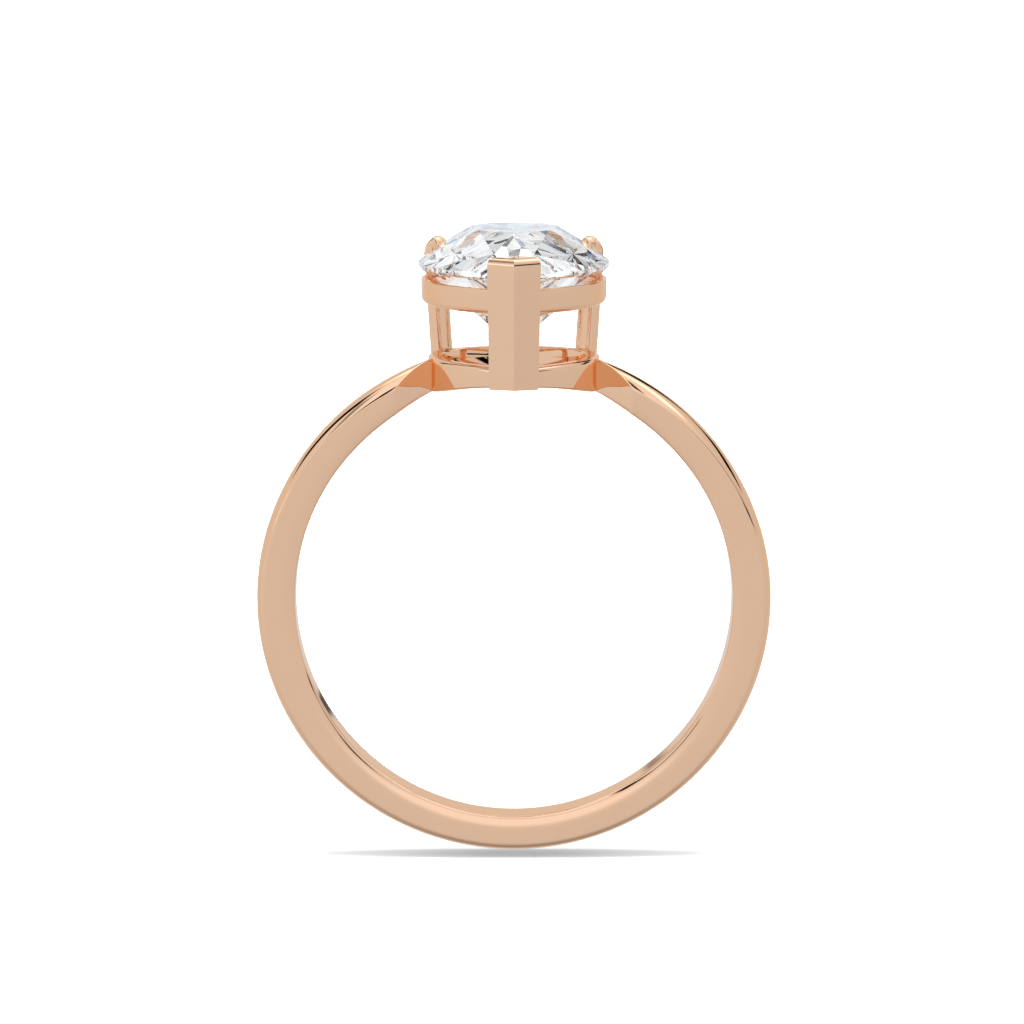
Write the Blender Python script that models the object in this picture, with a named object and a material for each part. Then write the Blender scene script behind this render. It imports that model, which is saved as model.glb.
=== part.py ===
"""Pear-cut solitaire ring: a shank, a basket head and the stone.

The head is a base ring, a gallery rail, a V-prong and two claws. Units are metres and +Z is up. The origin
is the centre of the finger hole and Y is the finger's axis, so the head stands at the top of the circle and
the stone's point looks towards -Y. Neighbouring pieces keep SOLDER_GAP between them, where solder or a
stone seat joins the real ones.
"""

import math

import bmesh
import bpy
from mathutils import Matrix, Vector

MM = 0.001

# Finger hole and shank. Stations run from the foot of the ring to one shoulder, as (degrees, value).
FINGER_RADIUS = 8.25 * MM
SHANK_END_DEGREES = 165.0
SHANK_THICKNESS = ((0, 1.39 * MM), (90, 1.46 * MM), (141, 1.32 * MM), (165, 1.33 * MM))
SHANK_DOME = ((0, 0.24 * MM), (90, 0.22 * MM), (125, 0.30 * MM), (150, 0.42 * MM), (165, 0.46 * MM))
SHANK_SHOULDER_RADIUS = ((0, 0.24 * MM), (90, 0.20 * MM), (125, 0.10 * MM), (165, 0.09 * MM))
SHANK_HALF_WIDTH = 1.00 * MM
SHANK_INNER_FILLET = 0.13 * MM
PINCH_START_X = 4.42 * MM
PINCH_DEGREES = 22.0
SHANK_STEPS = 92
DOME_STEPS = 4
FILLET_STEPS = 3

# Stone. Heights are above the finger hole's centre.
STONE_HALF_WIDTH = 3.60 * MM
STONE_TIP_Y = -5.45 * MM
STONE_WIDEST_Y = 1.85 * MM
WING_HANDLE = 0.80
TABLE_INSET = 1.96 * MM
TABLE_Z = 13.94 * MM
GIRDLE_TOP_Z = 12.63 * MM
GIRDLE_BOTTOM_Z = 12.41 * MM
CULET_Y = 1.70 * MM
CULET_Z = 9.42 * MM
STAR_REACH = 0.50
LOWER_HALF_REACH = 0.76
MAIN_FACETS = 8
WING_STEPS = 16
ROUND_STEPS = 32

# Head. The basket leans outwards, so each piece of it is set in from the girdle by its own amount.
SOLDER_GAP = 0.015 * MM
HEAD_UNDERSIDE_RADIUS = 8.37 * MM
BASE_INSET = 0.35 * MM
BASE_WALL = 0.53 * MM
BASE_TOP_Z = 9.10 * MM
BASE_TOP_FILLET = 0.14 * MM
BASE_EDGE_FILLET = 0.06 * MM
RAIL_INSET = 0.09 * MM
RAIL_TOP_Z = 12.00 * MM
RAIL_BOTTOM_Z = 11.07 * MM
RAIL_TOP_WALL = 0.26 * MM
RAIL_BOTTOM_WALL = 0.50 * MM
RAIL_LOWER_FILLET = 0.26 * MM
RAIL_EDGE_FILLET = 0.05 * MM

# V-prong. Offsets are measured outwards from the stone's two straight sides at its point.
VEE_WALL = 0.45 * MM
VEE_HALF_WIDTH_TOP = 0.98 * MM
VEE_HALF_WIDTH_FOOT = 0.91 * MM
VEE_SHOULDER_Z = 12.94 * MM
VEE_CAP_RADIUS = 0.30 * MM
VEE_CAP_REACH = 0.40 * MM
VEE_FOOT_Z = 7.90 * MM
CAP_STEPS = 5

# Claws. They stand on the round end, behind the widest line, and their tips fold over the crown.
CLAW_BEHIND_DEGREES = 37.8
CLAW_RADIAL = 0.48 * MM
CLAW_TANGENTIAL = 0.90 * MM
CLAW_FOOT_Z = 7.60 * MM
CLAW_FOOT_REACH = 3.376 * MM
CLAW_LEAN = 0.088
CLAW_BEND_Z = 12.72 * MM
CLAW_TIP_RADIUS = 0.37 * MM
CLAW_TIP_DEGREES = 62.0
CLAW_BEND_RADIUS = 0.40 * MM
CLAW_SECTION_STEPS = 24
CLAW_BEND_STEPS = 7
CLAW_CAP_STEPS = 5
CLAW_SQUARENESS = 6.0

CUTTER_REACH = 2.0 * MM
FINGER_SEGMENTS = 180
PLANE_TOLERANCE = 1e-8
TURN_STEP = 0.001
SMOOTH_DEGREES = 35.0
FACET_DEGREES = 1.0

ROSE_GOLD = (0.93, 0.64, 0.44, 1.0)
POLISHED_ROUGHNESS = 0.05
CLEAR = (1.0, 1.0, 1.0, 1.0)
DIAMOND_IOR = 2.417


def clear_scene():
    for old in list(bpy.data.objects):
        bpy.data.objects.remove(old, do_unlink=True)


def principled(name, colour, roughness, metallic):
    made = bpy.data.materials.new(name)
    made.use_nodes = True
    shader = made.node_tree.nodes["Principled BSDF"]
    shader.inputs["Base Color"].default_value = colour
    shader.inputs["Roughness"].default_value = roughness
    shader.inputs["Metallic"].default_value = metallic
    made.diffuse_color = colour
    return made


def polished_metal(name):
    return principled(name, ROSE_GOLD, roughness=POLISHED_ROUGHNESS, metallic=1.0)


def clear_gem(name):
    made = principled(name, CLEAR, roughness=0.0, metallic=0.0)
    shader = made.node_tree.nodes["Principled BSDF"]
    shader.inputs["IOR"].default_value = DIAMOND_IOR
    shader.inputs["Transmission Weight"].default_value = 1.0
    return made


def object_of(name, mesh_builder, material=None, sharp_degrees=SMOOTH_DEGREES):
    bmesh.ops.recalc_face_normals(mesh_builder, faces=mesh_builder.faces)
    mesh = bpy.data.meshes.new(name)
    mesh_builder.to_mesh(mesh)
    mesh_builder.free()
    mesh.shade_smooth()
    mesh.set_sharp_from_angle(angle=math.radians(sharp_degrees))
    made = bpy.data.objects.new(name, mesh)
    bpy.context.scene.collection.objects.link(made)
    if material is not None:
        mesh.materials.append(material)
    return made


def cutter_of(name, mesh_builder):
    made = object_of(name, mesh_builder)
    made.hide_render = True
    made.display_type = "WIRE"
    return made


def cut(target, cutter):
    modifier = target.modifiers.new(cutter.name, "BOOLEAN")
    modifier.operation = "DIFFERENCE"
    modifier.solver = "EXACT"
    modifier.object = cutter


def loft(rings, closed=False):
    """A skin over rings of equally many points; the ends are capped, or joined when the loft is closed."""
    mesh_builder = bmesh.new()
    rows = [[mesh_builder.verts.new(point) for point in ring] for ring in rings]
    size = len(rows[0])
    following = rows[1:] + rows[:1] if closed else rows[1:]
    for row, after in zip(rows, following):
        for index in range(size):
            beside = (index + 1) % size
            mesh_builder.faces.new((row[index], row[beside], after[beside], after[index]))
    if not closed:
        mesh_builder.faces.new(rows[0])
        mesh_builder.faces.new(rows[-1])
    return mesh_builder


def smooth_value(stations, at):
    """A smooth curve through (position, value) stations, with no slope at the first one."""
    last = len(stations) - 1
    slopes = [0.0]
    for index in range(1, last + 1):
        ahead = stations[min(index + 1, last)]
        behind = stations[index - 1]
        slopes.append((ahead[1] - behind[1]) / (ahead[0] - behind[0]))
    span = max(i for i in range(last) if i == 0 or stations[i][0] <= at)
    start, end = stations[span], stations[span + 1]
    width = end[0] - start[0]
    t = (at - start[0]) / width
    return (
        start[1] * (2 * t**3 - 3 * t**2 + 1)
        + slopes[span] * width * (t**3 - 2 * t**2 + t)
        + end[1] * (3 * t**2 - 2 * t**3)
        + slopes[span + 1] * width * (t**3 - t**2)
    )


def arc(centre, radius, start_degrees, end_degrees, steps):
    """Points of an arc in a plane, both ends included."""
    points = []
    for step in range(steps + 1):
        angle = math.radians(start_degrees + (end_degrees - start_degrees) * step / steps)
        points.append((centre[0] + radius * math.cos(angle), centre[1] + radius * math.sin(angle)))
    return points


# Pear outline


def wing_point(inset, t):
    """Point t of the way from the tip to the widest line on the +X side: straight, then rounding."""
    half_width = STONE_HALF_WIDTH - inset
    tip = Vector((0.0, STONE_TIP_Y + inset * math.sqrt(2)))
    widest = Vector((half_width, STONE_WIDEST_Y))
    corner = Vector((half_width, tip.y + half_width))
    tip_handle = tip.lerp(corner, WING_HANDLE)
    widest_handle = widest.lerp(corner, WING_HANDLE)
    s = 1 - t
    return tip * s**3 + tip_handle * (3 * s * s * t) + widest_handle * (3 * s * t * t) + widest * t**3


def pear_point(inset, turn):
    """Point of the outline: turn is 0 at the tip, 2 at +X widest, 4 at the back and 8 at the tip again."""
    if turn <= 2:
        return wing_point(inset, turn / 2)
    if turn >= 6:
        mirrored = wing_point(inset, (8 - turn) / 2)
        return Vector((-mirrored.x, mirrored.y))
    angle = (turn - 2) * math.pi / 4
    radius = STONE_HALF_WIDTH - inset
    return Vector((radius * math.cos(angle), STONE_WIDEST_Y + radius * math.sin(angle)))


def pear_outline(inset):
    turns = [2 * step / WING_STEPS for step in range(WING_STEPS)]
    turns += [2 + 4 * step / ROUND_STEPS for step in range(ROUND_STEPS)]
    turns += [6 + 2 * step / WING_STEPS for step in range(WING_STEPS)]
    return [pear_point(inset, turn) for turn in turns]


def pear_ring(inset, height_at):
    return [Vector((point.x, point.y, height_at(point.x))) for point in pear_outline(inset)]


def pear_prism(inset, bottom, top):
    return loft([pear_ring(inset, lambda _: bottom), pear_ring(inset, lambda _: top)])


def level(height):
    return lambda _: height


# Stone


def tangent_at(turn):
    """Direction of the outline at a main facet; across the tip it runs straight along X."""
    if turn % MAIN_FACETS == 0:
        return Vector((1.0, 0.0, 0.0))
    ahead = pear_point(0.0, turn + TURN_STEP)
    behind = pear_point(0.0, turn - TURN_STEP)
    return (ahead - behind).to_3d().normalized()


def girdle_point(turn, height):
    return pear_point(0.0, turn % MAIN_FACETS).to_3d() + Vector((0.0, 0.0, height))


def plane_through(a, b, c):
    """(point, normal) of the plane through three points, the normal facing away from the stone's middle."""
    normal = (b - a).cross(c - a).normalized()
    middle = Vector((0.0, STONE_WIDEST_Y, GIRDLE_TOP_Z))
    return (a, normal) if normal.dot(a - middle) > 0 else (a, -normal)


def meet_at_height(first, second, height):
    """The point at this height on the line where two planes meet."""
    (p, n), (q, m) = first, second
    first_sum = n.dot(p) - n.z * height
    second_sum = m.dot(q) - m.z * height
    scale = n.x * m.y - n.y * m.x
    x = (first_sum * m.y - second_sum * n.y) / scale
    y = (n.x * second_sum - m.x * first_sum) / scale
    return Vector((x, y, height))


def girdle_facets(turn, height, apex):
    """The two planes that meet the girdle between one main facet and the next, and share this apex."""
    near = girdle_point(turn, height)
    middle = girdle_point(turn + 0.5, height)
    far = girdle_point(turn + 1, height)
    return [plane_through(near, middle, apex), plane_through(middle, far, apex)]


def crown_planes():
    corners = [pear_point(TABLE_INSET, turn).to_3d() + Vector((0, 0, TABLE_Z)) for turn in range(MAIN_FACETS)]
    mains = []
    for turn, corner in enumerate(corners):
        foot = girdle_point(turn, GIRDLE_TOP_Z)
        mains.append(plane_through(foot, foot + tangent_at(turn) * MM, corner))
    planes = [(Vector((0, 0, TABLE_Z)), Vector((0, 0, 1)))] + mains
    star_height = TABLE_Z - STAR_REACH * (TABLE_Z - GIRDLE_TOP_Z)
    for turn in range(MAIN_FACETS):
        after = (turn + 1) % MAIN_FACETS
        apex = meet_at_height(mains[turn], mains[after], star_height)
        planes.append(plane_through(corners[turn], corners[after], apex))
        planes += girdle_facets(turn, GIRDLE_TOP_Z, apex)
    return planes


def pavilion_planes():
    culet = Vector((0.0, CULET_Y, CULET_Z))
    mains = []
    for turn in range(MAIN_FACETS):
        foot = girdle_point(turn, GIRDLE_BOTTOM_Z)
        mains.append(plane_through(foot, foot + tangent_at(turn) * MM, culet))
    planes = list(mains)
    apex_height = GIRDLE_BOTTOM_Z + LOWER_HALF_REACH * (CULET_Z - GIRDLE_BOTTOM_Z)
    for turn in range(MAIN_FACETS):
        apex = meet_at_height(mains[turn], mains[(turn + 1) % MAIN_FACETS], apex_height)
        planes += girdle_facets(turn, GIRDLE_BOTTOM_Z, apex)
    return planes


def cut_stone(gap=0.0):
    """The stone as a lapidary cuts it: a pear-shaped rough, ground flat on each facet's plane."""
    mesh_builder = pear_prism(-gap, CULET_Z - CUTTER_REACH, TABLE_Z + CUTTER_REACH)
    bmesh.ops.recalc_face_normals(mesh_builder, faces=mesh_builder.faces)
    for point, normal in crown_planes() + pavilion_planes():
        everything = mesh_builder.verts[:] + mesh_builder.edges[:] + mesh_builder.faces[:]
        ground = bmesh.ops.bisect_plane(
            mesh_builder,
            geom=everything,
            dist=PLANE_TOLERANCE,
            plane_co=point + normal * gap,
            plane_no=normal,
            clear_outer=True,
        )
        rim = [item for item in ground["geom_cut"] if isinstance(item, bmesh.types.BMEdge)]
        rim = [edge for edge in rim if edge.is_boundary]
        if rim:
            bmesh.ops.holes_fill(mesh_builder, edges=rim, sides=0)
    return mesh_builder


# Metalwork


def shank_half_width(angle_degrees, outwards):
    """Half the band's width: full all round, then pinched by two upright faces that close on the head."""
    x = (FINGER_RADIUS + outwards) * math.sin(math.radians(angle_degrees))
    if angle_degrees < 90 or x > PINCH_START_X:
        return SHANK_HALF_WIDTH
    return SHANK_HALF_WIDTH - (PINCH_START_X - x) * math.tan(math.radians(PINCH_DEGREES))


def shank_section(angle_degrees):
    """Half outline of the band's section, as (across, outwards) points from the finger side to the crown."""
    thickness = smooth_value(SHANK_THICKNESS, angle_degrees)
    dome = smooth_value(SHANK_DOME, angle_degrees)
    rounding = smooth_value(SHANK_SHOULDER_RADIUS, angle_degrees)
    dome_radius = (SHANK_HALF_WIDTH**2 + dome**2) / (2 * dome)
    dome_centre = thickness - dome_radius
    fillet = SHANK_INNER_FILLET
    foot_width = shank_half_width(angle_degrees, fillet)
    points = arc((foot_width - fillet, fillet), fillet, -90, 0, FILLET_STEPS)
    edge_width = shank_half_width(angle_degrees, thickness - dome)
    rise = math.sqrt((dome_radius - rounding) ** 2 - (edge_width - rounding) ** 2)
    edge_degrees = math.degrees(math.atan2(rise, edge_width - rounding))
    points += arc((edge_width - rounding, dome_centre + rise), rounding, 0, edge_degrees, FILLET_STEPS)
    points += arc((0.0, dome_centre), dome_radius, edge_degrees, 90, DOME_STEPS)[1:]
    return points


def shank_ring(angle_degrees):
    half = shank_section(abs(angle_degrees))
    mirrored = [(-across, outwards) for across, outwards in reversed(half[:-1])]
    turn = Matrix.Rotation(-math.radians(angle_degrees), 3, "Y")
    ring = []
    for across, outwards in half + mirrored:
        ring.append(turn @ Vector((0.0, across, -(FINGER_RADIUS + outwards))))
    return ring


def make_shank(material):
    rings = []
    for step in range(SHANK_STEPS + 1):
        rings.append(shank_ring(SHANK_END_DEGREES * (2 * step / SHANK_STEPS - 1)))
    shank = object_of("shank", loft(rings), material)
    seat = pear_prism(BASE_INSET - SOLDER_GAP, 0.0, BASE_TOP_Z + CUTTER_REACH)
    cut(shank, cutter_of("shank_seat_cutter", seat))


def underside(radius):
    """Height of the finger-side surface, a cylinder along Y."""
    return lambda x: math.sqrt(radius**2 - x**2)


def raised(height_at, by):
    return lambda x: height_at(x) + by


def make_base_ring(material):
    floor = underside(HEAD_UNDERSIDE_RADIUS)
    rings = []
    fillet = BASE_EDGE_FILLET
    for inset, rise in arc((fillet, fillet), fillet, 270, 180, FILLET_STEPS):
        rings.append(pear_ring(BASE_INSET + inset, raised(floor, rise)))
    fillet = BASE_TOP_FILLET
    for inset, rise in arc((fillet, -fillet), fillet, 180, 90, FILLET_STEPS):
        rings.append(pear_ring(BASE_INSET + inset, level(BASE_TOP_Z + rise)))
    fillet = BASE_EDGE_FILLET
    for inset, rise in arc((BASE_WALL - fillet, -fillet), fillet, 90, 0, FILLET_STEPS):
        rings.append(pear_ring(BASE_INSET + inset, level(BASE_TOP_Z + rise)))
    for inset, rise in arc((BASE_WALL - fillet, fillet), fillet, 0, -90, FILLET_STEPS):
        rings.append(pear_ring(BASE_INSET + inset, raised(floor, rise)))
    return object_of("base_ring", loft(rings, closed=True), material)


def make_gallery_rail(material):
    corners = []
    fillet = RAIL_LOWER_FILLET
    corners += arc((fillet, RAIL_BOTTOM_Z + fillet), fillet, 270, 180, 2 * FILLET_STEPS)
    fillet = RAIL_EDGE_FILLET
    corners += arc((fillet, RAIL_TOP_Z - fillet), fillet, 180, 90, FILLET_STEPS)
    corners += arc((RAIL_TOP_WALL - fillet, RAIL_TOP_Z - fillet), fillet, 90, 0, FILLET_STEPS)
    corners += arc((RAIL_BOTTOM_WALL - fillet, RAIL_BOTTOM_Z + fillet), fillet, 0, -90, FILLET_STEPS)
    rings = [pear_ring(RAIL_INSET + inset, level(height)) for inset, height in corners]
    return object_of("gallery_rail", loft(rings, closed=True), material)


def basket_lean(height):
    """How far the basket's wall is set in from the girdle at this height."""
    slope = BASE_INSET / (GIRDLE_BOTTOM_Z - BASE_TOP_Z)
    return max(0.0, (GIRDLE_BOTTOM_Z - height) * slope)


def vee_section(height, outer, inner, half_width):
    """Plan of the V-prong at one height, between two offsets from the stone's straight sides."""
    root = math.sqrt(2)
    outer_tip = STONE_TIP_Y - outer * root
    inner_tip = STONE_TIP_Y - inner * root
    along = (outer - inner) / root
    outer_end = Vector((half_width, outer_tip + half_width, height))
    inner_end = outer_end + Vector((-along, along, 0.0))
    right = [outer_end, inner_end]
    left = [Vector((-point.x, point.y, point.z)) for point in reversed(right)]
    return [Vector((0.0, outer_tip, height))] + right + [Vector((0.0, inner_tip, height))] + left


def make_v_prong(material, cutters):
    lean = basket_lean(VEE_FOOT_Z)
    wall = SOLDER_GAP + VEE_WALL
    top = VEE_HALF_WIDTH_TOP
    rings = [
        vee_section(VEE_FOOT_Z, wall - lean, SOLDER_GAP - lean, VEE_HALF_WIDTH_FOOT),
        vee_section(GIRDLE_BOTTOM_Z, wall, SOLDER_GAP, top),
        vee_section(GIRDLE_TOP_Z, wall, SOLDER_GAP, top),
    ]
    for outwards, rise in arc((-VEE_CAP_RADIUS, 0.0), VEE_CAP_RADIUS, 0, 90, CAP_STEPS):
        inwards = -VEE_CAP_REACH
        rings.append(vee_section(VEE_SHOULDER_Z + rise, wall + outwards, inwards, top))
    v_prong = object_of("v_prong", loft(rings), material)
    for cutter in cutters:
        cut(v_prong, cutter)


def claw_section(centre, radial, tangent, radial_size, tangential_size, power):
    """One ring of a claw: a rectangle with rounded corners that turns into an ellipse as power falls to 2."""
    ring = []
    for step in range(CLAW_SECTION_STEPS):
        angle = 2 * math.pi * (step + 0.5) / CLAW_SECTION_STEPS
        c, s = math.cos(angle), math.sin(angle)
        along = math.copysign(abs(c) ** (2 / power), c) * radial_size / 2
        across = math.copysign(abs(s) ** (2 / power), s) * tangential_size / 2
        ring.append(centre + radial * along + tangent * across)
    return ring


def claw_rings(side, grow):
    """The claw on one side (+1 or -1 in X): a leaning post, a bend towards the stone and a rounded tip."""
    behind = math.radians(CLAW_BEHIND_DEGREES)
    outward = Vector((side * math.cos(behind), math.sin(behind), 0.0))
    tangent = Vector((0.0, 0.0, 1.0)).cross(outward)
    middle = Vector((0.0, STONE_WIDEST_Y, 0.0))
    lean = math.atan(CLAW_LEAN)
    rise = Vector((0.0, 0.0, 1.0)) * math.cos(lean) + outward * math.sin(lean)
    face = outward * math.cos(lean) - Vector((0.0, 0.0, 1.0)) * math.sin(lean)
    foot = middle + outward * CLAW_FOOT_REACH + Vector((0.0, 0.0, CLAW_FOOT_Z))
    post_length = (CLAW_BEND_Z - CLAW_FOOT_Z) / math.cos(lean)
    radial_size = CLAW_RADIAL + 2 * grow
    tangential_size = CLAW_TANGENTIAL + 2 * grow
    tip_size = 2 * (CLAW_TIP_RADIUS + grow)
    bend_start = foot + rise * post_length
    bend_centre = bend_start - face * CLAW_BEND_RADIUS
    rings = [claw_section(foot, face, tangent, radial_size, tangential_size, CLAW_SQUARENESS)]
    for step in range(CLAW_BEND_STEPS + 1):
        part = step / CLAW_BEND_STEPS
        angle = math.radians(CLAW_TIP_DEGREES) * part
        direction = face * math.cos(angle) + rise * math.sin(angle)
        centre = bend_centre + direction * CLAW_BEND_RADIUS
        power = CLAW_SQUARENESS + (2.0 - CLAW_SQUARENESS) * part
        wide = radial_size + (tip_size - radial_size) * part
        deep = tangential_size + (tip_size - tangential_size) * part
        rings.append(claw_section(centre, direction, tangent, wide, deep, power))
    ahead = rise * math.cos(angle) - face * math.sin(angle)
    for step in range(1, CLAW_CAP_STEPS):
        angle = math.pi / 2 * step / CLAW_CAP_STEPS
        size = tip_size * math.cos(angle)
        cap_centre = centre + ahead * (tip_size / 2 * math.sin(angle))
        rings.append(claw_section(cap_centre, direction, tangent, size, size, 2.0))
    return rings


def make_claw(name, side, material, cutters):
    claw = object_of(name, loft(claw_rings(side, 0.0)), material)
    for cutter in cutters:
        cut(claw, cutter)


def finger_cylinder():
    """The space under the head, which its pieces are filed to."""
    mesh_builder = bmesh.new()
    bmesh.ops.create_cone(
        mesh_builder,
        cap_ends=True,
        segments=FINGER_SEGMENTS,
        radius1=HEAD_UNDERSIDE_RADIUS,
        radius2=HEAD_UNDERSIDE_RADIUS,
        depth=2 * FINGER_RADIUS,
        matrix=Matrix.Rotation(math.pi / 2, 4, "X"),
    )
    return mesh_builder


def main():
    clear_scene()
    rose_gold = polished_metal("rose_gold")
    base_seat = pear_prism(BASE_INSET - SOLDER_GAP, 0.0, BASE_TOP_Z + SOLDER_GAP)
    cutters = [
        cutter_of("stone_seat_cutter", cut_stone(SOLDER_GAP)),
        cutter_of("finger_cutter", finger_cylinder()),
        cutter_of("base_seat_cutter", base_seat),
    ]
    make_shank(rose_gold)
    make_base_ring(rose_gold)
    rail = make_gallery_rail(rose_gold)
    make_v_prong(rose_gold, cutters)
    for name, side in (("claw_left", -1), ("claw_right", 1)):
        make_claw(name, side, rose_gold, cutters)
        cut(rail, cutter_of(name + "_notch_cutter", loft(claw_rings(side, SOLDER_GAP))))
    object_of("diamond", cut_stone(), clear_gem("diamond"), sharp_degrees=FACET_DEGREES)


main()
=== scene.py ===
"""The looks of a pear-cut solitaire ring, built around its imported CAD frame.

Units are metres and +Z is up. Sizes and places come from the frame's boxes; the constants below are
only what the boxes can't tell, such as fillets, walls and the cut of the stone.
"""
import math

import bmesh
import bpy
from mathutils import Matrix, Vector


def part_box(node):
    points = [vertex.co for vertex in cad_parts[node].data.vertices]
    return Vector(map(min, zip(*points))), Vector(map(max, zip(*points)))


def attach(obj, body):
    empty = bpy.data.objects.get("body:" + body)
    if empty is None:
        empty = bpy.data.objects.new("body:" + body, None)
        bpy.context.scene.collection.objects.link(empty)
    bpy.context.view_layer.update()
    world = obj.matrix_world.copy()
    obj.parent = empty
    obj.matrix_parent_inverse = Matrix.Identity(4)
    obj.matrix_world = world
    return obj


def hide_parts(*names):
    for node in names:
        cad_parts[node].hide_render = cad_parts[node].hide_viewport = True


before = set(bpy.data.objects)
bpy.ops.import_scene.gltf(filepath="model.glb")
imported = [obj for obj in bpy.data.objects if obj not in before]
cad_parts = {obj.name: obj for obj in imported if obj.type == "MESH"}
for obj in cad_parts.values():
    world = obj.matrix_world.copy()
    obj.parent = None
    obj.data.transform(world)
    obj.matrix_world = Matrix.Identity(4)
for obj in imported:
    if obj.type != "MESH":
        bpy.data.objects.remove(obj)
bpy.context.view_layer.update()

MM = 0.001
CREASE_DEGREES = 35.0

# Stone: facet plan.
TABLE_INSET = 1.96 * MM
GIRDLE_HALF = 0.11 * MM
GIRDLE_BELOW_TABLE = 1.42 * MM
CULET_Y = 1.70 * MM
WING_HANDLE = 0.80
STAR_REACH = 0.50
LOWER_HALF_REACH = 0.76
MAIN_FACETS = 8
STONE_WING_STEPS = 32
STONE_ROUND_STEPS = 64
SEAT_GAP = 0.012 * MM
PLANE_TOLERANCE = 1e-8
FACET_SHARP_DEGREES = 1.0
TURN_STEP = 0.001

# Band: stations are (degrees from the foot of the ring, value), from the foot to one shoulder.
FINGER_RADIUS = 8.25 * MM
BAND_THICKNESS = ((0, 1.39 * MM), (90, 1.46 * MM), (141, 1.32 * MM), (165, 1.33 * MM))
BAND_DOME = ((0, 0.24 * MM), (90, 0.22 * MM), (125, 0.30 * MM), (150, 0.42 * MM), (165, 0.46 * MM))
BAND_SHOULDER = ((0, 0.24 * MM), (90, 0.20 * MM), (125, 0.10 * MM), (165, 0.09 * MM))
BAND_LIFT = ((0, 0.0), (130, 0.0), (150, 0.05 * MM), (158, 0.14 * MM), (165, 0.18 * MM))
BAND_INNER_FILLET = 0.13 * MM
BAND_EASE_DEGREES = 14.0
BAND_EASE_RADIUS = 2.2 * MM
PINCH_START_X = 4.42 * MM
PINCH_START_DEGREES = 40.0
PINCH_END_DEGREES = 26.0
PINCH_LENGTH = 1.36 * MM
PINCH_SOFTNESS = 0.03 * MM
PINCH_LEAST_HALF = 0.08 * MM
PINCH_FULL_ROUNDING = 0.40 * MM
UPRIGHT_FROM_DEGREES = 110.0
UPRIGHT_LEAD_DEGREES = 4.0
BAND_END_X = 2.2 * MM
BAND_END_BITE = 0.03 * MM
CUTTER_REACH = 2.0 * MM
FINGER_CUTTER_HALF = 9.0 * MM
FINGER_CUTTER_STEPS = 360
BAND_STEPS = 720
FACE_STEPS = 4
EASE_STEPS = 10
FILLET_STEPS = 8
DOME_STEPS = 16

# Head. How far each piece is set in from the girdle comes from the frame, further down.
HEAD_UNDERSIDE_RADIUS = 8.37 * MM
BASE_WALL = 0.53 * MM
BASE_FLARE = 0.15 * MM
BASE_FLARE_DEGREES = 4.0
BASE_EASE_DEGREES = 20.0
BASE_EASE_RADIUS = 1.2 * MM
BASE_TOP_FILLET = 0.20 * MM
BASE_INNER_FILLET = 0.10 * MM
BASE_FOOT_FILLET = 0.10 * MM
RAIL_TOP_WALL = 0.26 * MM
RAIL_BOTTOM_WALL = 0.50 * MM
RAIL_LOWER_FILLET = 0.26 * MM
RAIL_EDGE_FILLET = 0.05 * MM
WING_STEPS = 96
ROUND_STEPS = 192

VEE_WALL = 0.45 * MM
VEE_FOOT_NARROWING = 0.07 * MM
VEE_CAP_RADIUS = 0.30 * MM
VEE_CAP_REACH = 0.75 * MM
VEE_CAP_START_DEGREES = 7.0
VEE_CAP_CORNER = 0.24 * MM
VEE_EMBED = 0.01 * MM
VEE_EDGE = 0.05 * MM
VEE_EDGE_STEPS = 3
VEE_EDGE_FROM_DEGREES = 30.0
CAP_STEPS = 24

CLAW_BEHIND_DEGREES = 37.8
CLAW_RADIAL = 0.48 * MM
CLAW_TANGENTIAL = 0.90 * MM
CLAW_FOOT_REACH = 3.376 * MM
CLAW_FOOT_Z = 7.60 * MM
CLAW_LEAN = 0.088
CLAW_BEND_Z = 12.72 * MM
CLAW_TIP_RADIUS = 0.335 * MM
CLAW_TIP_DEGREES = 60.0
CLAW_BEND_RADIUS = 0.37 * MM
CLAW_FOOT_RISE = 0.03 * MM
CLAW_SECTION_STEPS = 64
CLAW_POST_STEPS = 24
CLAW_BEND_STEPS = 20
CLAW_CAP_STEPS = 14
CLAW_SQUARENESS = 6.0
CLAW_ROUND = 2.0
CLAW_GROOVES = (0.38 * MM, -0.18 * MM)
CLAW_GROOVE_DEPTH = 0.085 * MM
CLAW_GROOVE_TOP = 0.5 * MM

# Stage and camera.
FLOOR_GAP = 0.19 * MM
FLOOR_HALF = 3.0
FLOOR_GREY = 0.62
FLOOR_GLOW = 0.40
LAMP_STRENGTH = 5.0
LAMP_SPREAD_DEGREES = 35.0
STUDIO_RADIUS = 0.6
SPARKLE_RADIUS = 0.9
SPARKLE_SUBDIVISIONS = 4
MOST_BOUNCES = 24
# The room's light as (elevation in degrees, brightness), its two ends first.
ROOM_LIGHT = (
    (-90, 0.34),
    (90, 1.15),
    (-60, 0.46),
    (-50, 0.53),
    (-40, 0.61),
    (-30, 0.69),
    (-15, 0.74),
    (5, 0.77),
    (25, 0.78),
    (38, 0.90),
    (55, 1.05),
)
SIDE_SHADE = 0.05
SPARKLE_SCALE = 18.0
SPARKLE_DETAIL = 2.0
SPARKLE_DISTORTION = 1.5
# The sparkle dome's light as (noise value, colour), its two ends first.
SPARKLE_LIGHT = (
    (0.0, (0.0, 0.0, 0.0)),
    (1.0, (1.3, 1.3, 1.3)),
    (0.42, (0.02, 0.02, 0.02)),
    (0.43, (0.28, 0.36, 0.56)),
    (0.44, (0.62, 0.60, 0.56)),
    (0.48, (0.92, 0.92, 0.91)),
    (0.60, (1.15, 1.15, 1.13)),
)
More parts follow.
